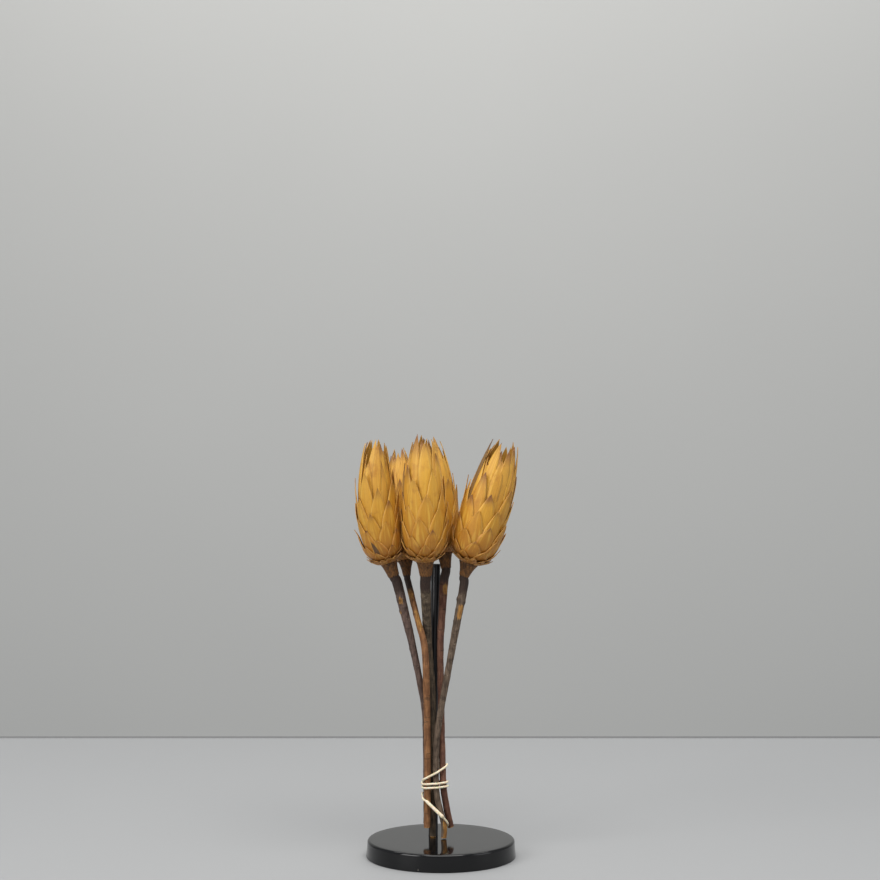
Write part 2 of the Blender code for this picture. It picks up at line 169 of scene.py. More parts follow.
def turned(profile, steps):
    """A bmesh spun round Z from a profile that starts and ends on the axis."""
    bm = bmesh.new()
    made = [bm.verts.new(point) for point in profile]
    lines = [bm.edges.new(pair) for pair in zip(made, made[1:])]
    bmesh.ops.spin(bm, geom=made + lines, cent=(0, 0, 0), axis=(0, 0, 1), angle=2 * math.pi, steps=steps,
                   use_merge=True)
    bmesh.ops.remove_doubles(bm, verts=bm.verts, dist=0.000005)
    bmesh.ops.recalc_face_normals(bm, faces=bm.faces)
    return bm


def rod(radius, foot, top, steps):
    """A bmesh cylinder from foot to top."""
    bm = bmesh.new()
    length = (top - foot).length
    bmesh.ops.create_cone(bm, cap_ends=True, segments=steps, radius1=radius, radius2=radius, depth=length)
    bmesh.ops.translate(bm, verts=bm.verts, vec=(0, 0, length / 2))
    turn = Vector((0, 0, 1)).rotation_difference(top - foot).to_matrix()
    bmesh.ops.rotate(bm, verts=bm.verts, cent=(0, 0, 0), matrix=turn)
    bmesh.ops.translate(bm, verts=bm.verts, vec=foot)
    return bm


def finish_piece(piece, slot, *nodes, sharp=30):
    piece.data.shade_smooth()
    piece.data.set_sharp_from_angle(angle=math.radians(sharp))
    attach(piece, "root")
    if nodes:
        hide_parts(*nodes)


def build_group(name, inputs, outputs):
    """An empty shader node group with named sockets, and its two end nodes."""
    group = bpy.data.node_groups.new(name, "ShaderNodeTree")
    for label, kind, value in inputs:
        socket = group.interface.new_socket(label, in_out="INPUT", socket_type="NodeSocket" + kind)
        if value is not None:
            socket.default_value = value
    for label, kind in outputs:
        group.interface.new_socket(label, in_out="OUTPUT", socket_type="NodeSocket" + kind)
    return group, group.nodes.new("NodeGroupInput"), group.nodes.new("NodeGroupOutput")


def math_node(tree, operation, first, second=0.0, clamp=False):
    made = tree.nodes.new("ShaderNodeMath")
    made.operation = operation
    made.use_clamp = clamp
    for socket, value in zip(made.inputs, (first, second)):
        if isinstance(value, bpy.types.NodeSocket):
            tree.links.new(value, socket)
        else:
            socket.default_value = value
    return made.outputs["Value"]


def between(tree, value, low, high):
    """0 below low, 1 above high, and a smooth step between them."""
    limits = {"Value": value, "From Min": low, "From Max": high}
    return node(tree, "MapRange", limits, interpolation_type="SMOOTHSTEP").outputs["Result"]


def blend_colour(tree, factor, first, second, blend_type="MIX"):
    values = {"Factor": factor}
    for key, value in (("A", first), ("B", second)):
        values[key] = value if isinstance(value, bpy.types.NodeSocket) else (*value, 1.0)
    return node(tree, "Mix", values, data_type="RGBA", blend_type=blend_type).outputs["Result"]


# Dust: small pale specks scattered over a surface, each a soft dot in a random cell.
dust_group, ends_in, ends_out = build_group(
    "dust_specks", [("Vector", "Vector", None), ("Scale", "Float", 100.0), ("Size", "Float", 0.1),
                    ("Share", "Float", 0.3)], [("Mask", "Float")])
cells = node(dust_group, "TexVoronoi", {"Vector": ends_in.outputs["Vector"], "Scale": ends_in.outputs["Scale"]})
chance = node(dust_group, "SeparateColor", {"Color": cells.outputs["Color"]}).outputs["Red"]
wanted = math_node(dust_group, "LESS_THAN", chance, ends_in.outputs["Share"])
near = math_node(dust_group, "SUBTRACT", 1.0, math_node(dust_group, "DIVIDE", cells.outputs["Distance"],
                                                        ends_in.outputs["Size"]), clamp=True)
dust_group.links.new(math_node(dust_group, "MULTIPLY", wanted, near), ends_out.inputs["Mask"])


def use_group(tree, group, inputs):
    made = tree.nodes.new("ShaderNodeGroup")
    made.node_tree = group
    for key, value in inputs.items():
        if isinstance(value, bpy.types.NodeSocket):
            tree.links.new(value, made.inputs[key])
        else:
            made.inputs[key].default_value = value
    return made.outputs


def lacquer_material():
    """Black lacquer: nearly a mirror, with faint haze where it was wiped, a few dust specks and fine ripple."""
    finish, tree, shader = new_material("black_lacquer", IOR=1.42)
    where = node(tree, "TexCoord").outputs["Object"]
    haze = node(tree, "TexNoise", {"Vector": where, "Scale": 45.0, "Detail": 4.0}).outputs["Fac"]
    dust = use_group(tree, dust_group, {"Vector": where, "Scale": 260.0, "Size": 0.16, "Share": 0.035})["Mask"]
    speck = between(tree, dust, 0.05, 0.5)
    colour = blend_colour(tree, speck, (0.0025, 0.0025, 0.003), (0.20, 0.18, 0.15))
    tree.links.new(colour, shader.inputs["Base Color"])
    rough = node(tree, "MapRange", {"Value": haze, "To Min": 0.05, "To Max": 0.13}).outputs["Result"]
    rough = math_node(tree, "ADD", rough, math_node(tree, "MULTIPLY", speck, 0.5))
    tree.links.new(rough, shader.inputs["Roughness"])
    ripple = node(tree, "TexNoise", {"Vector": where, "Scale": 90.0, "Detail": 1.0}).outputs["Fac"]
    bump = node(tree, "Bump", {"Height": ripple, "Strength": 0.02, "Distance": 0.0005})
    tree.links.new(bump.outputs["Normal"], shader.inputs["Normal"])
    return finish


base_profile = [Vector((0, 0, BASE_HEIGHT))]
base_profile += [Vector((BASE_RADIUS * share, 0, BASE_HEIGHT)) for share in (0.3, 0.6, 0.85)]
base_profile += arc((BASE_RADIUS - TOP_ROUND, BASE_HEIGHT - TOP_ROUND), TOP_ROUND, 90, 4, 10)
base_profile += [Vector((BASE_RADIUS + 0.25 * MM, 0, 7.5 * MM))]
base_profile += arc((BASE_FOOT - FOOT_ROUND, FOOT_ROUND), FOOT_ROUND, 0, -90, 5)
base_profile += [Vector((BASE_RADIUS * 0.5, 0, 0)), Vector((0, 0, 0))]
lacquer = lacquer_material()
base = mesh_object("turned_base", turned(base_profile, BASE_STEPS), lacquer)
underside = POST_FOOT - POST_AXIS * (POST_FOOT.z + 2 * MM)
holes = (("socket", POST_RADIUS + FIT_GAP, POST_FOOT - POST_AXIS * (POST_FOOT.z - SOCKET_FLOOR), POST_TOP),
         ("counterbore", COUNTERBORE_RADIUS, underside, POST_FOOT - POST_AXIS * (POST_FOOT.z - COUNTERBORE_TOP)))
for hole_name, hole_radius, hole_foot, hole_top in holes:
    cutter = mesh_object(hole_name, rod(hole_radius, hole_foot, hole_top, 48), lacquer)
    hole = base.modifiers.new(hole_name, "BOOLEAN")
    hole.operation = "DIFFERENCE"
    hole.object = cutter
base.data = bpy.data.meshes.new_from_object(base.evaluated_get(bpy.context.evaluated_depsgraph_get()))
base.modifiers.clear()
for hole_name, *_ in holes:
    bpy.data.objects.remove(bpy.data.objects[hole_name], do_unlink=True)
finish_piece(base, "black_lacquer", "stand_base")

# ---- Post and its screw ----
# A straight rod in satin black paint. It stands in the base's socket, leans a hair to the right, and ends out of
# sight under the heads. A zinc plated screw holds it from below.
TOP_EDGE = 0.6 * MM


def post_material():
    finish, tree, shader = new_material("satin_black_paint", IOR=1.5)
    where = node(tree, "TexCoord").outputs["Object"]
    drawn = node(tree, "Mapping", {"Vector": where, "Scale": (900, 900, 25)}).outputs["Vector"]
    scratches = node(tree, "TexNoise", {"Vector": drawn, "Scale": 1.0, "Detail": 3.0}).outputs["Fac"]
    dust = use_group(tree, dust_group, {"Vector": where, "Scale": 420.0, "Size": 0.25, "Share": 0.08})["Mask"]
    colour = blend_colour(tree, between(tree, dust, 0.1, 0.8), (0.006, 0.006, 0.007), (0.10, 0.09, 0.08))
    tree.links.new(colour, shader.inputs["Base Color"])
    rough = node(tree, "MapRange", {"Value": scratches, "To Min": 0.22, "To Max": 0.38}).outputs["Result"]
    tree.links.new(rough, shader.inputs["Roughness"])
    bump = node(tree, "Bump", {"Height": scratches, "Strength": 0.08, "Distance": 0.0003})
    tree.links.new(bump.outputs["Normal"], shader.inputs["Normal"])
    return finish


def screw_material():
    finish, tree, shader = new_material("zinc_plate", Metallic=1.0)
    where = node(tree, "TexCoord").outputs["Object"]
    bloom = node(tree, "TexNoise", {"Vector": where, "Scale": 700.0, "Detail": 5.0}).outputs["Fac"]
    tree.links.new(blend_colour(tree, bloom, (0.42, 0.42, 0.40), (0.68, 0.68, 0.66)), shader.inputs["Base Color"])
    rough = node(tree, "MapRange", {"Value": bloom, "To Min": 0.25, "To Max": 0.5}).outputs["Result"]
    tree.links.new(rough, shader.inputs["Roughness"])
    return finish


post_mesh = rod(POST_RADIUS, POST_FOOT, POST_TOP, 48)
top_rim = [edge for edge in post_mesh.edges if min(vertex.co.z for vertex in edge.verts) > POST_TOP.z - MM]
bmesh.ops.bevel(post_mesh, geom=top_rim, offset=TOP_EDGE, segments=3, profile=0.5, affect="EDGES", material=-1)
post = mesh_object("post", post_mesh, post_material())
finish_piece(post, "black_post_paint", "stand_post", sharp=50)
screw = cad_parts["post_screw"]
screw.data.materials.clear()
screw.data.materials.append(screw_material())

# ---- Stems ----
# Five woody stems, cut off near the base. Each has dry bark with fine ridges, leaf scars and knobs, peels to
# paler wood in places, and swells at the top into a smooth dark neck and the cone that the bracts grow on.
STEM_SIDES = 28
STEM_STEP = 1.1 * MM
NECK_LENGTH = 13.0 * MM
NECK_SHARES = ((-13.0, 0.0), (-9.0, 0.2), (-6.0, 0.4), (-3.0, 0.66), (0.0, 1.0))
CONE_HEIGHT = 6.6 * MM
HEAD_FOOT_SHARE = 0.43
HEAD_BELLY = 0.37
HEAD_TOP_SHARE = 0.5
PITCH = 1.2 * MM
NECK_MARK_LENGTH = 34 * MM
NECK_MARK_FADE = 5 * MM
PEEL_FADE = 5
CUT_INSET = 0.35 * MM
CUT_DEPTH = 0.15 * MM

# Points are (x, y, z, radius) in millimetres, from the cut foot up. Knobs are (height, angle, swell, length) in
# millimetres and degrees, and peels (lowest, highest, angle, spread) mark where the bark has come away.
FLOWERS = {
    "left": {
        "stem": ((-13.0, 5.9, 27.0, 2.4), (-13.0, 5.9, 61.0, 2.5), (-13.9, 5.5, 118.0, 2.5),
                 (-17.4, 4.6, 145.0, 2.7), (-24.3, 2.0, 180.0, 3.1), (-30.3, -1.0, 206.0, 3.7),
                 (-37.8, -6.0, 237.0, 4.4)),
        "axis": ((-45.3, -9.0, 256.0), (-60.2, -14.0, 297.5), (-54.9, -17.0, 362.0)),
        "radius": 18.9,
        "bark": ((0.050, 0.031, 0.024), (0.155, 0.098, 0.078)),
        "knobs": ((223, -120, 1.3, 4.5), (213, 170, 1.0, 3.5), (216, -60, 0.8, 4.0), (232, -150, 0.8, 2.5),
                  (198, -80, 0.6, 3.0), (180, 200, 0.5, 3.0), (163, -70, 0.4, 2.5), (236, 0, 0.7, 2.5)),
        "peels": ((220, 226, -100, 26), (211, 214, -150, 22)),
    },
    "back_left": {
        "stem": ((-12.1, -0.4, 24.7, 2.8), (-11.7, -0.4, 61.0, 2.9), (-12.0, -1.2, 110.0, 2.9),
                 (-12.6, -2.6, 145.0, 2.9), (-14.1, -3.4, 180.0, 2.9), (-20.5, -1.2, 206.0, 2.6),
                 (-28.2, 8.6, 235.0, 2.8)),
        "axis": ((-31.0, 14.0, 255.0), (-35.2, 26.5, 300.0), (-38.0, 35.0, 355.0)),
        "radius": 16.2,
        "bark": ((0.130, 0.052, 0.020), (0.300, 0.140, 0.055)),
        "knobs": ((229, -60, 0.7, 4.0), (210, -140, 0.5, 3.0), (199, -70, 0.4, 2.5), (150, -50, 0.3, 2.5)),
        "peels": ((222, 231, -110, 60), (196, 212, -80, 50)),
    },
    "front": {
        "stem": ((-7.2, 4.9, 15.4, 2.6), (-7.2, 4.9, 61.0, 2.6), (-7.0, 4.9, 132.0, 2.8),
                 (-9.6, 5.0, 165.0, 3.2), (-11.6, 4.2, 188.0, 3.7), (-12.4, -0.5, 208.0, 4.0),
                 (-13.5, -10.0, 235.0, 4.7)),
        "axis": ((-13.7, -16.0, 257.5), (-15.2, -23.5, 302.0), (-14.5, -25.0, 366.0)),
        "radius": 20.0,
        "bark": ((0.040, 0.028, 0.018), (0.135, 0.098, 0.062)),
        "knobs": ((236, -110, 0.9, 2.6), (231, -60, 0.8, 2.4), (226, -130, 0.9, 2.8), (221, -80, 0.8, 2.4),
                  (215, -40, 0.7, 2.4), (209, -100, 0.9, 3.0), (203, -140, 0.6, 2.4), (197, -75, 0.7, 2.6),
                  (190, -120, 0.5, 2.4), (183, -60, 0.5, 2.4), (228, 60, 0.8, 2.6), (212, 110, 0.8, 2.6)),
        "peels": (),
    },
    "back_right": {
        "stem": ((8.5, 5.6, 24.0, 2.8), (4.8, 3.6, 41.0, 2.9), (2.0, 1.6, 61.0, 2.9), (0.9, 2.0, 93.0, 2.8),
                 (0.0, 4.0, 132.0, 2.8), (-0.6, 4.6, 180.0, 2.9), (0.7, 5.2, 206.0, 3.2), (2.6, 7.0, 238.0, 3.9)),
        "axis": ((3.0, 10.0, 262.0), (-1.6, 20.0, 305.0), (-9.0, 24.0, 363.0)),
        "radius": 17.2,
        "bark": ((0.085, 0.034, 0.022), (0.185, 0.085, 0.050)),
        "knobs": ((236, -40, 0.7, 3.2), (226, -60, 0.5, 3.0), (196, -100, 0.4, 2.4), (178, -40, 0.4, 2.4)),
        "peels": ((226, 236, -60, 40),),
    },
    "right": {
        "stem": ((2.3, -1.8, 15.9, 2.4), (2.8, -1.8, 25.0, 2.5), (0.9, -1.8, 34.0, 2.5), (-3.2, -1.4, 50.0, 2.7),
                 (-4.3, -1.2, 66.0, 2.6), (-4.3, -1.8, 85.0, 2.6), (-2.6, -2.8, 111.0, 2.8), (5.6, -3.4, 158.0, 2.8),
                 (14.4, -4.2, 206.0, 3.3), (19.9, -5.0, 236.0, 3.9)),
        "axis": ((24.2, -7.0, 256.0), (38.2, -12.0, 297.0), (56.0, -14.0, 360.5)),
        "radius": 22.0,
        "bark": ((0.050, 0.033, 0.022), (0.165, 0.115, 0.078)),
        "knobs": ((223, 200, 1.3, 4.0), (221, -30, 0.9, 4.0), (204, 190, 0.5, 3.0), (196, -80, 0.7, 3.2),
                  (229, -60, 0.5, 2.4), (214, -150, 0.5, 3.0), (171, -100, 0.4, 2.6)),
        "peels": ((206, 219, -75, 42), (12, 31, -35, 75)),
    },
}


def read(table, at):
    """Straight-line reading of (position, value) pairs in rising order."""
    for (low, low_value), (high, high_value) in zip(table, table[1:]):
        if at <= high:
            return low_value + (high_value - low_value) * max(0.0, (at - low) / (high - low))
    return table[-1][1]


def head_of(flower):
    axis = [Vector(point) * MM for point in flower["axis"]]
    chords = (axis[1] - axis[0]).length + (axis[2] - axis[1]).length
    return {"axis": axis, "length": (chords + (axis[2] - axis[0]).length) / 2, "radius": flower["radius"] * MM}


def axis_at(head, along):
    """The point on the head's bent axis at a distance along it, and the axis's direction there."""
    start, middle, end = head["axis"]
    share = max(along / head["length"], 0.0)
    point = start * (1 - share) ** 2 + middle * 2 * share * (1 - share) + end * share**2
    direction = ((middle - start) * (1 - share) + (end - middle) * share).normalized()
    return point + direction * min(along, 0.0), direction


def onto_axis(head, place):
    """Moves a place modelled round a straight Z axis onto the head's bent axis."""
    centre, direction = axis_at(head, place.z)
    return centre + Vector((0, 0, 1)).rotation_difference(direction) @ Vector((place.x, place.y, 0.0))


def outline(head, share):
    """(radius, height) of the head's outer face at a share of its length."""
    foot = HEAD_FOOT_SHARE * head["radius"]
    if share < HEAD_BELLY:
        radius = foot + (head["radius"] - foot) * (1 - (1 - share / HEAD_BELLY) ** 5)
    else:
        radius = head["radius"] * (1 - (1 - HEAD_TOP_SHARE) * ((share - HEAD_BELLY) / (1 - HEAD_BELLY)) ** 2.2)
    return Vector((radius, share * head["length"]))


def outward(head, share):
    step = outline(head, min(share + 0.01, 1.0)) - outline(head, max(share - 0.01, 0.0))
    return Vector((step.y, -step.x)).normalized()


def cone_radius(head, along=0.0):
    """The cone that the bracts' feet stand on narrows along the line that their feet share."""
    foot, facing = outline(head, 0.0), outward(head, 0.0)
    return foot.x + along * facing.x / facing.y - 1.3 * MM


def stem_route(flower, steps):
    """Smooth (x, y, z, radius) points up the stem to its neck."""
    head = head_of(flower)
    neck, direction = axis_at(head, -NECK_LENGTH)
    controls = [Vector(point) * MM for point in flower["stem"]]
    controls.append(Vector((*neck, controls[-1].w)))
    after = neck + direction * 2 * NECK_LENGTH
    padded = [2 * controls[0] - controls[1], *controls, Vector((*after, controls[-1].w))]
    route = [controls[0]]
    for before, start, end, following in zip(padded, padded[1:], padded[2:], padded[3:]):
        count = max(1, round((end.xyz - start.xyz).length / steps))
        places = interpolate_bezier(start.xyz, start.xyz + (end.xyz - before.xyz) / 6,
                                    end.xyz - (following.xyz - start.xyz) / 6, end.xyz, count + 1)
        for step in range(1, count + 1):
            route.append(Vector((*places[step], start.w + (end.w - start.w) * step / count)))
    return route


def gap_between(first, second):
    """The smaller turn between two angles in degrees."""
    return abs((first - second + 180) % 360 - 180)


def bark_relief(place, angle, height, radius, flower):
    """How far the bark stands out here, and how much of it is knob or scar."""
    turn = math.radians(angle)
    ridge = noise.noise(Vector((math.cos(turn) * 3.1, math.sin(turn) * 3.1, height * 0.10)) + place * 40)
    lump = noise.noise(Vector((math.cos(turn), math.sin(turn), height * 0.06)) * 1.3 + place * 20)
    grit = noise.noise(place * 900)
    relief = 0.16 * ridge + 0.22 * lump + 0.09 * grit
    scar = 0.0
    for knob_height, knob_angle, swell, length in flower["knobs"]:
        rise = math.exp(-((height - knob_height) / (0.5 * length)) ** 2)
        spread = math.exp(-(gap_between(angle, knob_angle) / 38) ** 2)
        relief += 0.75 * swell * rise * spread
        scar = max(scar, math.exp(-((height - knob_height) / (0.22 * length)) ** 2) * spread)
    return relief * MM * min(1.0, radius / (2.5 * MM)), scar


def bark_group_made():
    """Dry bark: long streaks and blotches of two browns, dark cracks across and along, and pale lichen dots."""
    group, start, end = build_group(
        "dry_bark", [("Vector", "Vector", None), ("Dark", "Color", None), ("Light", "Color", None)],
        [("Color", "Color"), ("Height", "Float")])
    where = start.outputs["Vector"]
    long_way = node(group, "Mapping", {"Vector": where, "Scale": (650, 650, 90)}).outputs["Vector"]
    streak = node(group, "TexNoise", {"Vector": long_way, "Scale": 1.0, "Detail": 6.0, "Roughness": 0.62})
    blotch = node(group, "TexNoise", {"Vector": where, "Scale": 130.0, "Detail": 5.0, "Roughness": 0.6})
    cross_way = node(group, "Mapping", {"Vector": where, "Scale": (120, 120, 520)}).outputs["Vector"]
    rings = node(group, "TexNoise", {"Vector": cross_way, "Scale": 1.0, "Detail": 3.0})
    mixed = math_node(group, "MULTIPLY", streak.outputs["Fac"], 0.6)
    mixed = math_node(group, "ADD", mixed, math_node(group, "MULTIPLY", blotch.outputs["Fac"], 0.4))
    tone = between(group, mixed, 0.38, 0.64)
    colour = blend_colour(group, tone, start.outputs["Dark"], start.outputs["Light"])
    crack = between(group, rings.outputs["Fac"], 0.60, 0.72)
    colour = blend_colour(group, math_node(group, "MULTIPLY", crack, 0.55), colour, (0.02, 0.013, 0.009))
    dots = node(group, "TexVoronoi", {"Vector": where, "Scale": 520.0}).outputs["Distance"]
    lichen = math_node(group, "MULTIPLY", math_node(group, "LESS_THAN", dots, 0.2),
                       between(group, blotch.outputs["Fac"], 0.52, 0.62))
    colour = blend_colour(group, math_node(group, "MULTIPLY", lichen, 0.5), colour, (0.34, 0.28, 0.2))
    group.links.new(colour, end.inputs["Color"])
    height = math_node(group, "SUBTRACT", mixed, math_node(group, "MULTIPLY", crack, 0.3))
    group.links.new(height, end.inputs["Height"])
    return group


bark_group = bark_group_made()


def bark_material(name, dark, light):
    """Bark that turns to orange-tan wood where it has peeled, to dark scars on knobs, and to a smooth dark neck."""
    finish, tree, shader = new_material(name + "_bark", Specular_IOR_Level=0.35)
    where = node(tree, "TexCoord").outputs["Object"]
    marks = node(tree, "SeparateColor", {"Color": node(tree, "Attribute", attribute_name="marks").outputs["Color"]})
    scar, peel, neck = (marks.outputs[channel] for channel in ("Red", "Green", "Blue"))
    bark = use_group(tree, bark_group, {"Vector": where, "Dark": (*dark, 1), "Light": (*light, 1)})
    fine = node(tree, "Mapping", {"Vector": where, "Scale": (1500, 1500, 120)}).outputs["Vector"]
    fibre = node(tree, "TexNoise", {"Vector": fine, "Scale": 1.0, "Detail": 4.0}).outputs["Fac"]
    wood = blend_colour(tree, between(tree, fibre, 0.35, 0.65), (0.20, 0.080, 0.018), (0.42, 0.22, 0.06))
    ragged = math_node(tree, "ADD", peel, math_node(tree, "MULTIPLY", math_node(tree, "SUBTRACT", fibre, 0.5), 1.6))
    peeled = between(tree, ragged, 0.40, 0.75)
    colour = blend_colour(tree, peeled, bark["Color"], wood)
    scar_share = math_node(tree, "MULTIPLY", scar, 0.75)
    colour = blend_colour(tree, scar_share, colour, (0.030, 0.018, 0.012))
    neck_tone = blend_colour(tree, between(tree, fibre, 0.3, 0.7), (0.020, 0.011, 0.008), (0.052, 0.028, 0.018))
    colour = blend_colour(tree, neck, colour, neck_tone)
    tree.links.new(colour, shader.inputs["Base Color"])
    rough = node(tree, "MapRange", {"Value": bark["Height"], "To Min": 0.92, "To Max": 0.66}).outputs["Result"]
    rough = math_node(tree, "SUBTRACT", rough, math_node(tree, "MULTIPLY", neck, 0.2))
    tree.links.new(rough, shader.inputs["Roughness"])
    bump = node(tree, "Bump", {"Height": bark["Height"], "Strength": 0.9, "Distance": 0.0007})
    tree.links.new(bump.outputs["Normal"], shader.inputs["Normal"])
    return finish


def straight_tube(bm, sides, rows):
    """Adds a closed tube of radius 1 up the Z axis, one unit a row. Returns its vertices and its foot face."""
    made = bmesh.ops.create_circle(bm, cap_ends=True, segments=sides, radius=1.0)
    vertices = list(made["verts"])
    edges = list({edge for vertex in vertices for edge in vertex.link_edges})
    foot_face = next(iter(vertices[0].link_faces))
    for _ in range(rows - 1):
        made = bmesh.ops.extrude_edge_only(bm, edges=edges)
        edges = [item for item in made["geom"] if isinstance(item, bmesh.types.BMEdge)]
        fresh = [item for item in made["geom"] if isinstance(item, bmesh.types.BMVert)]
        bmesh.ops.translate(bm, verts=fresh, vec=(0, 0, 1.0))
        vertices += fresh
    bmesh.ops.holes_fill(bm, edges=edges)
    return vertices, foot_face


def make_stem(name, flower):
    head = head_of(flower)
    stations = stem_route(flower, STEM_STEP)
    stem_radius = stations[-1].w
    along = -NECK_LENGTH
    while along < CONE_HEIGHT:
        along = min(along + STEM_STEP, CONE_HEIGHT)
        centre, _ = axis_at(head, along)
        if along > 0:
            radius = cone_radius(head, along)
        else:
            radius = stem_radius + (cone_radius(head) - stem_radius) * read(NECK_SHARES, along / MM)
        stations.append(Vector((*centre, radius)))

    bm = bmesh.new()
    marks = bm.verts.layers.float_color.new("marks")
    vertices, foot_face = straight_tube(bm, STEM_SIDES, len(stations))
    neck_start = stations[-1].z - NECK_MARK_LENGTH
    for vertex in vertices:
        index = round(vertex.co.z)
        station = stations[index]
        ahead = stations[min(index + 1, len(stations) - 1)].xyz - stations[max(index - 1, 0)].xyz
        turn = Vector((0, 0, 1)).rotation_difference(ahead)
        side = turn @ Vector((vertex.co.x, vertex.co.y, 0.0))
        angle = math.degrees(math.atan2(vertex.co.y, vertex.co.x))
        height = station.z / MM
        place = station.xyz + side * station.w
        relief, scar = bark_relief(place, angle, height, station.w, flower)
        neck = min(1.0, max(0.0, (station.z - neck_start) / NECK_MARK_FADE))
        peel = 0.0
        for low, high, peel_angle, spread in flower["peels"]:
            start = min(1.0, max(0.0, (height - low) / PEEL_FADE + 0.5))
            end = min(1.0, max(0.0, (high - height) / PEEL_FADE + 0.5))
            peel = max(peel, start * end * math.exp(-(gap_between(angle, peel_angle) / spread) ** 4))
        vertex.co = place + side.normalized() * relief * (1 - 0.75 * neck) * (1 - 0.5 * peel)
        vertex[marks] = (scar * (1 - neck), peel, neck, 1.0)

    inset = bmesh.ops.inset_individual(bm, faces=[foot_face], thickness=CUT_INSET, depth=-CUT_DEPTH)
    for face in inset["faces"] + [foot_face]:
        for vertex in face.verts:
            vertex[marks] = (0.0, 1.0, 0.0, 1.0)
    bmesh.ops.recalc_face_normals(bm, faces=bm.faces)
    stem = mesh_object(name + "_woody_stem", bm, bark_material(name, *flower["bark"]))
    finish_piece(stem, "bark", name + "_stem", sharp=60)


for flower_name, flower in FLOWERS.items():
    make_stem(flower_name, flower)

# ---- Neck scales ----
# Small woody scales clothe the cone under each head, in spiral rows like a pineapple's, orange-brown with a random
# tone each, and with painted shade that darkens their inner faces in the gaps between them and lightens their tops.
SCALE_LENGTH = 2.9 * MM
SCALE_ROW = 1.65 * MM


def scale_material():
    finish, tree, shader = new_material("neck_scales", Specular_IOR_Level=0.4)
    where = node(tree, "TexCoord").outputs["Object"]
    # Real tone plus painted shade: the attribute holds each scale's random tone, darkened on the inner faces in the
    # gaps between scales and lightened towards the top.
    scale_tone_and_shade = node(tree, "Attribute", attribute_name="scale_tone_and_shade").outputs["Fac"]
    mottle = node(tree, "TexNoise", {"Vector": where, "Scale": 600.0, "Detail": 4.0}).outputs["Fac"]
    tone = math_node(tree, "ADD", math_node(tree, "MULTIPLY", scale_tone_and_shade, 0.7), math_node(tree, "MULTIPLY", mottle, 0.3))
    colour = blend_colour(tree, between(tree, tone, 0.15, 0.8), (0.022, 0.009, 0.004), (0.20, 0.085, 0.020))
    tree.links.new(colour, shader.inputs["Base Color"])
    rough = node(tree, "MapRange", {"Value": mottle, "To Min": 0.5, "To Max": 0.75}).outputs["Result"]
    tree.links.new(rough, shader.inputs["Roughness"])
    bump = node(tree, "Bump", {"Height": mottle, "Strength": 0.4, "Distance": 0.0003})
    tree.links.new(bump.outputs["Normal"], shader.inputs["Normal"])
    return finish


def make_neck_scales(name, flower, finish):
    head = head_of(flower)
    stem_radius = flower["stem"][-1][3] * MM
    draw = random.Random("scales " + name)
    bm = bmesh.new()
    scale_tone_and_shade_layer = bm.verts.layers.float.new("scale_tone_and_shade")
    along, row = -12.2 * MM, 0
    while along < 0.4 * MM:
        radius = stem_radius + (cone_radius(head) - stem_radius) * read(NECK_SHARES, along / MM) + 0.25 * MM
        growth = 0.85 + 0.35 * (along / MM + 12.5) / 12
        count = round(2 * math.pi * radius / (2.5 * MM * growth))
        for index in range(count):
            turn = 2 * math.pi * (index + 0.5 * (row % 2)) / count + draw.uniform(-0.05, 0.05)
            scale_tone_and_shade = draw.uniform(0.45, 0.95)
            made = bmesh.ops.create_uvsphere(bm, u_segments=8, v_segments=5, radius=1.0)
            for vertex in made["verts"]:
                x, y, z = vertex.co
                width = 0.5 * SCALE_LENGTH * growth * (0.95 if z < 0 else 0.95 - 0.75 * z)
                out = radius + (0.42 * y + 0.30 * z) * MM * growth
                spot = Matrix.Rotation(turn, 3, "Z") @ Vector((out, x * width, 0))
                spot.z = along + z * 0.62 * SCALE_LENGTH * growth
                # Each scale's random tone plus painted shade: darker on the inner face in the gaps between scales,
                # lighter towards the top.
                vertex[scale_tone_and_shade_layer] = max(0.0, min(1.0, scale_tone_and_shade * (0.55 + 0.45 * y) + 0.12 * z))
                vertex.co = onto_axis(head, spot)
        along += SCALE_ROW * growth
        row += 1
    bmesh.ops.recalc_face_normals(bm, faces=bm.faces)
    finish_piece(mesh_object(name + "_scale_cover", bm, finish), "scale_brown", name + "_neck_scales", sharp=80)


scales = scale_material()
for flower_name, flower in FLOWERS.items():
    make_neck_scales(flower_name, flower, scales)

# ---- Bracts ----
# Each head is a tight spiral of stiff pointed bracts, broad at the belly and long and narrow at the crown, with rows
# of small ones at the foot and a set that closes the crown. They are waxy and golden, with fine long veins, pale
# thin margins and browned tips. Basal rows are (tip, count, layer, half width in millimetres).
GOLDEN_TURN = math.radians(137.508)
BRACTS = 56
LAYER = 8
FIRST_TIP = 0.04
TIP_POWER = 1.5
WIDTHS = ((0.0, 2.4), (0.1, 4.0), (0.2, 6.0), (0.32, 7.6), (0.47, 8.4), (0.64, 8.4), (0.82, 7.6), (1.0, 6.0))
WIDEST = ((0.0, 0.45), (0.3, 0.5), (0.6, 0.58), (1.0, 0.68))
BASAL_ROWS = ((0.022, 20, -0.55, 2.0), (0.045, 18, -0.42, 2.6), (0.075, 15, -0.25, 3.2))
CROWN_BRACTS = 18
GRID_ACROSS = 6
GRID_ALONG = 13
TIP_CROWDING = 1.35
BRACT_THICKNESS = 0.42 * MM
KEEL_WIDTH = 0.12
KEEL_DEPTH = 0.25 * MM


def outer_layer(share):
    """The number of the layer whose tips lie at this share of the head's length."""
    rise = max(0.0, (share - FIRST_TIP) / (1 - FIRST_TIP)) ** (1 / TIP_POWER)
    return rise * (BRACTS - 1) / LAYER - 0.6 * max(0.0, 1 - share / FIRST_TIP)


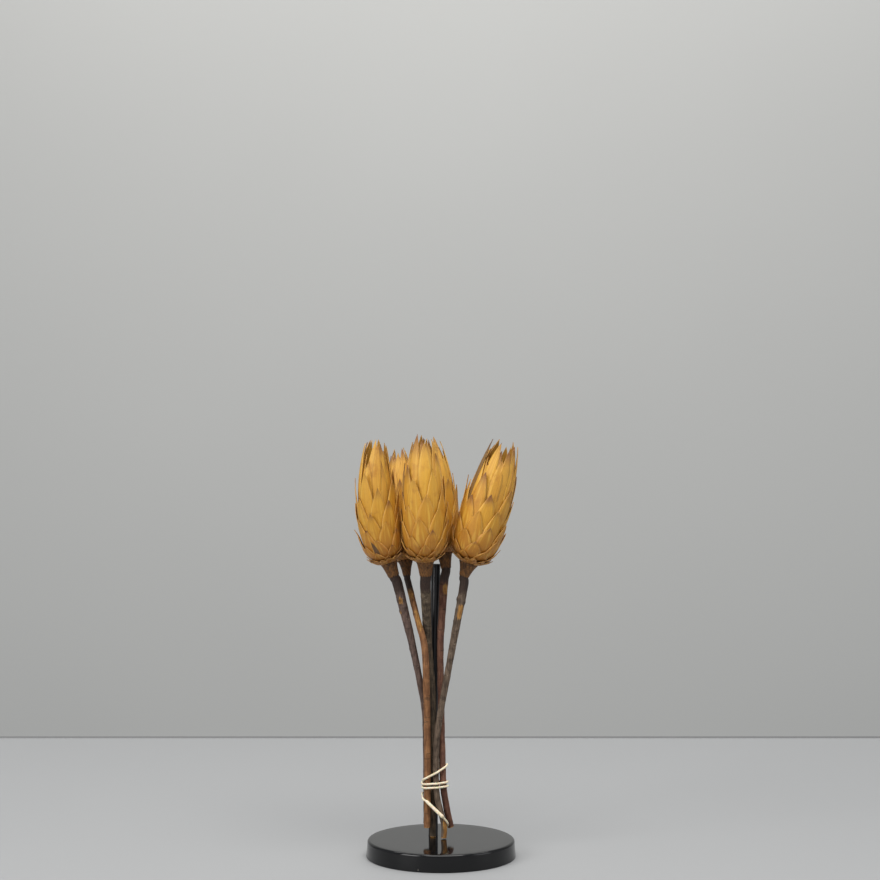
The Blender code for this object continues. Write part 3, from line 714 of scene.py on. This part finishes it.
def bract_outline(along, widest):
    """A bract's width at a share of its length, as a share of its greatest width."""
    if along < widest:
        return 0.5 + 0.5 * math.sin(math.pi / 2 * along / widest)
    taper = (along - widest) / (1 - widest)
    return max(0.0, 1 - taper**1.75) ** 0.92


def add_bract(bm, layers, head, layer, tip, turn, half_width, lift, curl, sway, tone, seed, foot=0.0):
    """Adds one bract as a curved sheet that lies on the head and points up."""
    uv, tone_layer, height_layer = layers
    made = bmesh.ops.create_grid(bm, x_segments=GRID_ACROSS, y_segments=GRID_ALONG, size=1.0)
    widest = read(WIDEST, tip)
    faces = {face for vertex in made["verts"] for face in vertex.link_faces}
    for face in faces:
        for loop in face.loops:
            x, y, _ = loop.vert.co
            loop[uv].uv = (0.5 + 0.5 * x, 1 - (0.5 - 0.5 * y) ** TIP_CROWDING)
    for vertex in made["verts"]:
        x, y, _ = vertex.co
        along = 1 - (0.5 - 0.5 * y) ** TIP_CROWDING
        share = foot + (tip - foot) * along
        face, facing = outline(head, share), outward(head, share)
        spot = face - facing * PITCH * (layer - outer_layer(share))
        radius = max(spot.x, 1.2 * MM)
        reach = x * half_width * bract_outline(along, widest)
        bow = max(radius * curl, 2.2 * MM)
        out = radius - bow * (1 - math.cos(reach / bow)) + lift * along**4
        out += 0.28 * MM * noise.noise(Vector((x * 1.4, along * 4.0, seed)))
        out -= KEEL_DEPTH * max(0, KEEL_WIDTH - abs(x)) / KEEL_WIDTH
        side = bow * math.sin(reach / bow) + sway * along**3
        place = Matrix.Rotation(turn, 3, "Z") @ Vector((out, side, 0))
        place.z = spot.y
        vertex[tone_layer] = (*tone, 1.0)
        vertex[height_layer] = share
        vertex.co = onto_axis(head, place)


def vein_group_made():
    """Fine veins that run the length of a bract, with slow drifts between them."""
    group, start, end = build_group("bract_veins", [("Vector", "Vector", None), ("Seed", "Float", 0.0)],
                                    [("Fine", "Float"), ("Broad", "Float")])
    moved = node(group, "CombineXYZ", {"Z": math_node(group, "MULTIPLY", start.outputs["Seed"], 37.0)})
    where = node(group, "VectorMath", {0: start.outputs["Vector"], 1: moved.outputs["Vector"]}, operation="ADD")
    fine = node(group, "Mapping", {"Vector": where.outputs["Vector"], "Scale": (34, 2.2, 1)}).outputs["Vector"]
    broad = node(group, "Mapping", {"Vector": where.outputs["Vector"], "Scale": (7, 1.6, 1)}).outputs["Vector"]
    for label, vector, detail in (("Fine", fine, 3.0), ("Broad", broad, 2.0)):
        fac = node(group, "TexNoise", {"Vector": vector, "Scale": 1.0, "Detail": detail}).outputs["Fac"]
        group.links.new(fac, end.inputs[label])
    return group


vein_group = vein_group_made()


def bract_material():
    finish, tree, shader = new_material("golden_bracts", IOR=1.45, Specular_IOR_Level=0.5)
    where = node(tree, "TexCoord").outputs["Object"]
    flat = node(tree, "UVMap", uv_map="UVMap").outputs["UV"]
    sides = node(tree, "SeparateXYZ", {"Vector": flat})
    across = math_node(tree, "ABSOLUTE", math_node(tree, "SUBTRACT", math_node(
        tree, "MULTIPLY", sides.outputs["X"], 2.0), 1.0))
    along = sides.outputs["Y"]
    tones = node(tree, "SeparateColor", {"Color": node(tree, "Attribute", attribute_name="tone").outputs["Color"]})
    warmth, browning, grey = (tones.outputs[channel] for channel in ("Red", "Green", "Blue"))
    height = node(tree, "Attribute", attribute_name="height").outputs["Fac"]
    veins = use_group(tree, vein_group, {"Vector": flat, "Seed": warmth})
    cloud = node(tree, "TexNoise", {"Vector": where, "Scale": 95.0, "Detail": 5.0, "Roughness": 0.6}).outputs["Fac"]

    ramp = node(tree, "ValToRGB", {"Fac": height})
    stops = ((0.0, (0.22, 0.065, 0.010)), (0.12, (0.42, 0.165, 0.016)), (0.4, (0.60, 0.29, 0.026)),
             (0.75, (0.66, 0.35, 0.042)), (1.0, (0.62, 0.34, 0.060)))
    ramp.color_ramp.elements[0].position, ramp.color_ramp.elements[0].color = 0.0, (*stops[0][1], 1)
    ramp.color_ramp.elements[1].position, ramp.color_ramp.elements[1].color = 1.0, (*stops[-1][1], 1)
    for position, colour in stops[1:-1]:
        ramp.color_ramp.elements.new(position).color = (*colour, 1)
    colour = ramp.outputs["Color"]
    colour = blend_colour(tree, math_node(tree, "MULTIPLY", warmth, 0.5), colour, (0.42, 0.165, 0.020))
    colour = blend_colour(tree, math_node(tree, "MULTIPLY", between(tree, veins["Broad"], 0.50, 0.68), 0.45), colour,
                          (0.80, 0.50, 0.085))
    colour = blend_colour(tree, math_node(tree, "MULTIPLY", between(tree, cloud, 0.52, 0.70), 0.45), colour,
                          (0.36, 0.125, 0.016))
    colour = blend_colour(tree, math_node(tree, "MULTIPLY", between(tree, veins["Fine"], 0.52, 0.70), 0.22), colour,
                          (0.30, 0.13, 0.02))
    margin = math_node(tree, "MULTIPLY", between(tree, across, 0.88, 0.98), 0.4)
    colour = blend_colour(tree, margin, colour, (0.70, 0.44, 0.15))
    tip = math_node(tree, "MULTIPLY", between(tree, math_node(
        tree, "ADD", along, math_node(tree, "MULTIPLY", cloud, 0.06)), 0.84, 1.05), browning)
    colour = blend_colour(tree, tip, colour, (0.22, 0.085, 0.028))
    specks = use_group(tree, dust_group, {"Vector": where, "Scale": 125.0, "Size": 0.17, "Share": 0.055})["Mask"]
    colour = blend_colour(tree, between(tree, specks, 0.1, 0.6), colour, (0.13, 0.028, 0.010))
    colour = blend_colour(tree, grey, colour, (0.085, 0.048, 0.027))
    tree.links.new(colour, shader.inputs["Base Color"])
    rough = node(tree, "MapRange", {"Value": cloud, "To Min": 0.36, "To Max": 0.56}).outputs["Result"]
    tree.links.new(rough, shader.inputs["Roughness"])
    relief = math_node(tree, "ADD", math_node(tree, "MULTIPLY", veins["Fine"], 0.7), math_node(
        tree, "MULTIPLY", veins["Broad"], 0.6))
    bump = node(tree, "Bump", {"Height": relief, "Strength": 0.55, "Distance": 0.0006})
    tree.links.new(bump.outputs["Normal"], shader.inputs["Normal"])
    return finish


# Bracts that stand apart from the spiral: (turn, tip, half width, lift, sway, warmth, browning, grey), in degrees,
# a share of the head's length, and millimetres.
LONE_BRACTS = {
    "left": ((178, 0.34, 4.0, 2.6, 0, 0.5, 0.5, 0.0), (-110, 0.24, 2.0, 1.3, -2, 0.2, 0.8, 0.85)),
    "back_left": (),
    "front": ((-168, 0.80, 3.2, 0.6, 0, 0.6, 1.0, 0.45),),
    "back_right": ((-22, 0.60, 4.0, 2.2, 0, 0.6, 0.6, 0.0),),
    "right": ((172, 0.70, 4.2, 3.2, 0, 0.3, 0.7, 0.0), (-155, 0.985, 2.6, 0.5, 0, 0.6, 1.0, 0.75)),
}
SPIRAL_STARTS = {"left": 0.6, "back_left": 2.1, "front": 4.0, "back_right": 1.2, "right": 3.0}


def make_bracts(name, flower, finish):
    head = head_of(flower)
    draw = random.Random("bracts " + name)
    bm = bmesh.new()
    layers = (bm.loops.layers.uv.new("UVMap"), bm.verts.layers.float_color.new("tone"),
              bm.verts.layers.float.new("height"))
    scale = head["radius"] / (20 * MM)
    for index in range(BRACTS):
        rise = index / (BRACTS - 1)
        tip = FIRST_TIP + (1 - FIRST_TIP) * rise**TIP_POWER
        tip = min(1.0, tip * (1 + draw.uniform(-0.035, 0.035)))
        turn = SPIRAL_STARTS[name] + index * GOLDEN_TURN + math.radians(draw.uniform(-5, 5))
        half_width = read(WIDTHS, tip) * MM * scale * draw.uniform(0.9, 1.12)
        lift = draw.choice((0.0, 0.0, 0.2, 0.4, 0.8, 1.4)) * MM * min(1.0, tip / 0.2)
        if tip > 0.8:
            lift = draw.uniform(-5.5, -0.5) * MM
        tone = (draw.random() ** 1.5, draw.choice((0.1, 0.25, 0.4, 0.6, 1.0)), 0.0)
        sway = draw.uniform(-1.3, 1.3) * MM
        add_bract(bm, layers, head, index / LAYER, tip, turn, half_width, lift, draw.uniform(0.68, 0.88), sway, tone,
                  draw.uniform(0, 90))
    for tip, count, layer, half_width in BASAL_ROWS:
        start = draw.uniform(0, 2 * math.pi)
        for index in range(count):
            turn = start + 2 * math.pi * (index + draw.uniform(-0.12, 0.12)) / count
            tone = (draw.uniform(0.3, 1.0), draw.uniform(0.3, 1.0), 0.0)
            add_bract(bm, layers, head, layer, tip * draw.uniform(0.85, 1.15), turn, half_width * MM, 0.15 * MM, 0.8,
                      0.0, tone, draw.uniform(0, 90))
    for index in range(CROWN_BRACTS):
        rise = index / (CROWN_BRACTS - 1)
        tone = (draw.random() ** 1.5, draw.choice((0.2, 0.5, 1.0)), 0.0)
        add_bract(bm, layers, head, 6.6 + 1.4 * rise, draw.uniform(0.84, 1.0), index * GOLDEN_TURN,
                  draw.uniform(4.2, 6.2) * MM * scale, -draw.uniform(0.5, 3.5) * MM, 0.75,
                  draw.uniform(-1.2, 1.2) * MM, tone, draw.uniform(0, 90), foot=0.3)
    for turn, tip, half_width, lift, sway, warmth, browning, grey in LONE_BRACTS[name]:
        add_bract(bm, layers, head, outer_layer(tip) - 0.4, tip, math.radians(turn), half_width * MM, lift * MM, 0.9,
                  sway * MM, (warmth, browning, grey), draw.uniform(0, 90), foot=tip * 0.25)
    bmesh.ops.recalc_face_normals(bm, faces=bm.faces)
    bracts = mesh_object(name + "_bract_leaves", bm, finish)
    wall = bracts.modifiers.new("thickness", "SOLIDIFY")
    wall.thickness = BRACT_THICKNESS
    wall.offset = -1.0
    finish_piece(bracts, "bract_gold", *[f"{name}_bracts_{ring}" for ring in range(1, 8)], sharp=70)


golden = bract_material()
for flower_name, flower in FLOWERS.items():
    make_bracts(flower_name, flower, golden)

# ---- Florets ----
# A dry brush of straw-brown florets stands in the middle of each head, on the cone's top, well below the bracts'
# tips. Each floret is a thin tapering fibre, a little bent.
FLORETS = 70


def floret_material():
    finish, tree, shader = new_material("dry_florets", Roughness=0.85)
    where = node(tree, "TexCoord").outputs["Object"]
    mottle = node(tree, "TexNoise", {"Vector": where, "Scale": 260.0, "Detail": 4.0}).outputs["Fac"]
    colour = blend_colour(tree, between(tree, mottle, 0.35, 0.65), (0.12, 0.055, 0.022), (0.42, 0.25, 0.10))
    tree.links.new(colour, shader.inputs["Base Color"])
    return finish


def make_florets(name, flower, finish):
    head = head_of(flower)
    draw = random.Random("florets " + name)
    bm = bmesh.new()
    for index in range(FLORETS):
        spread = math.sqrt((index + 0.5) / FLORETS)
        turn = index * GOLDEN_TURN
        height = (0.80 - 0.16 * spread + draw.uniform(-0.04, 0.04)) * head["length"]
        lean = spread * 0.36 * head["radius"]
        foot = 1.6 * MM * spread
        vertices, _ = straight_tube(bm, 5, 6)
        for vertex in vertices:
            rise = vertex.co.z / 5
            radius = 0.55 * MM * (1 - 0.4 * rise)
            out = foot + (lean - foot) * math.sin(rise * math.pi / 2) ** 0.9
            place = Vector((out * math.cos(turn) + vertex.co.x * radius, out * math.sin(turn) + vertex.co.y * radius,
                            CONE_HEIGHT + rise * (height - CONE_HEIGHT)))
            vertex.co = onto_axis(head, place)
    bmesh.ops.recalc_face_normals(bm, faces=bm.faces)
    finish_piece(mesh_object(name + "_floret_brush", bm, finish), "floret_brown", name + "_florets", sharp=80)


straw = floret_material()
for flower_name, flower in FLOWERS.items():
    make_florets(flower_name, flower, straw)

# ---- Rubber band ----
# One cream latex band winds round the stems and the post about three and a half times. Its lower end hooks round
# the right stem near the cut, with a small knot in front, and its upper end crosses the front on a slant.
BAND_RADIUS = 0.9 * MM
BAND_GAP = 0.25 * MM
BAND_STEP = math.radians(6)
HOOK_STEMS = ("left", "back_left", "front", "right")
BAND_TURNS = ((35, 26.0), (-10, 28.5), (-91, 36.0), (-99, 48.0), (-180, 52.5), (-360, 60.6), (-540, 58.8),
              (-720, 64.2), (-900, 62.0), (-1080, 79.3), (-1250, 65.8))
KNOT_TURN = -88
KNOT_HALF_TURN = 16
KNOT_SWELL = 0.75 * MM
BAND_SIDES = 14


def section(route, height):
    """(x, y, radius) where a stem's route crosses a height."""
    for low, high in zip(route, route[1:]):
        if low.z <= height <= high.z:
            place = low.lerp(high, (height - low.z) / (high.z - low.z))
            return place.x, place.y, place.w
    end = route[0] if height < route[0].z else route[-1]
    return end.x, end.y, end.w


def hull_point(routes, angle, height, clearance):
    """Where a taut band round these stems touches, for an outward direction seen from above."""
    facing = Vector((math.cos(angle), math.sin(angle)))
    rings = [section(route, height) for route in routes]
    x, y, radius = max(rings, key=lambda ring: ring[0] * facing.x + ring[1] * facing.y + ring[2])
    return Vector((x, y, height)) + Vector((*facing, 0.0)) * (radius + clearance)


def band_radius(degrees):
    closeness = max(0.0, 1 - abs(degrees - KNOT_TURN) / KNOT_HALF_TURN)
    return BAND_RADIUS + KNOT_SWELL * math.sin(closeness * math.pi / 2)


def band_points():
    routes = {name: stem_route(flower, 5 * MM) for name, flower in FLOWERS.items()}
    post_route = [Vector((*POST_FOOT, POST_RADIUS)), Vector((*POST_TOP, POST_RADIUS))]
    points = []
    for (start, low), (end, high) in zip(BAND_TURNS, BAND_TURNS[1:]):
        held = [routes[name] for name in HOOK_STEMS] if start > -180 else [*routes.values(), post_route]
        count = max(2, round(abs(math.radians(end - start)) / BAND_STEP))
        angles = [start + (end - start) * step / count for step in range(count + 1)]
        flat = [hull_point(held, math.radians(angle), (low + high) / 2 * MM, BAND_GAP + band_radius(angle))
                for angle in angles]
        walked = [0.0]
        for first, second in zip(flat, flat[1:]):
            walked.append(walked[-1] + (second - first).length)
        for angle, distance in list(zip(angles, walked))[1 if points else 0:]:
            height = (low + (high - low) * distance / walked[-1]) * MM
            place = hull_point(held, math.radians(angle), height, BAND_GAP + band_radius(angle))
            points.append(Vector((*place, band_radius(angle))))
    return points


def latex_material():
    finish, tree, shader = new_material("cream_latex", Specular_IOR_Level=0.4, Subsurface_Weight=0.15,
                                        Subsurface_Scale=0.001)
    where = node(tree, "TexCoord").outputs["Object"]
    mottle = node(tree, "TexNoise", {"Vector": where, "Scale": 420.0, "Detail": 4.0}).outputs["Fac"]
    colour = blend_colour(tree, between(tree, mottle, 0.35, 0.65), (0.74, 0.62, 0.42), (0.86, 0.78, 0.60))
    tree.links.new(colour, shader.inputs["Base Color"])
    rough = node(tree, "MapRange", {"Value": mottle, "To Min": 0.42, "To Max": 0.62}).outputs["Result"]
    tree.links.new(rough, shader.inputs["Roughness"])
    bump = node(tree, "Bump", {"Height": mottle, "Strength": 0.3, "Distance": 0.0003})
    tree.links.new(bump.outputs["Normal"], shader.inputs["Normal"])
    return finish


def make_band():
    points = band_points()
    bm = bmesh.new()
    vertices, _ = straight_tube(bm, BAND_SIDES, len(points))
    for vertex in vertices:
        index = round(vertex.co.z)
        point = points[index]
        ahead = (points[min(index + 1, len(points) - 1)].xyz - points[max(index - 1, 0)].xyz).normalized()
        out = ahead.cross(Vector((0, 0, 1))).normalized()
        up = out.cross(ahead)
        wobble = 1 + 0.07 * noise.noise(point.xyz * 300)
        vertex.co = point.xyz + (out * vertex.co.x * 0.92 + up * vertex.co.y * 1.05) * point.w * wobble
    bmesh.ops.recalc_face_normals(bm, faces=bm.faces)
    finish_piece(mesh_object("wound_band", bm, latex_material()), "cream_latex", "rubber_band", sharp=60)


make_band()
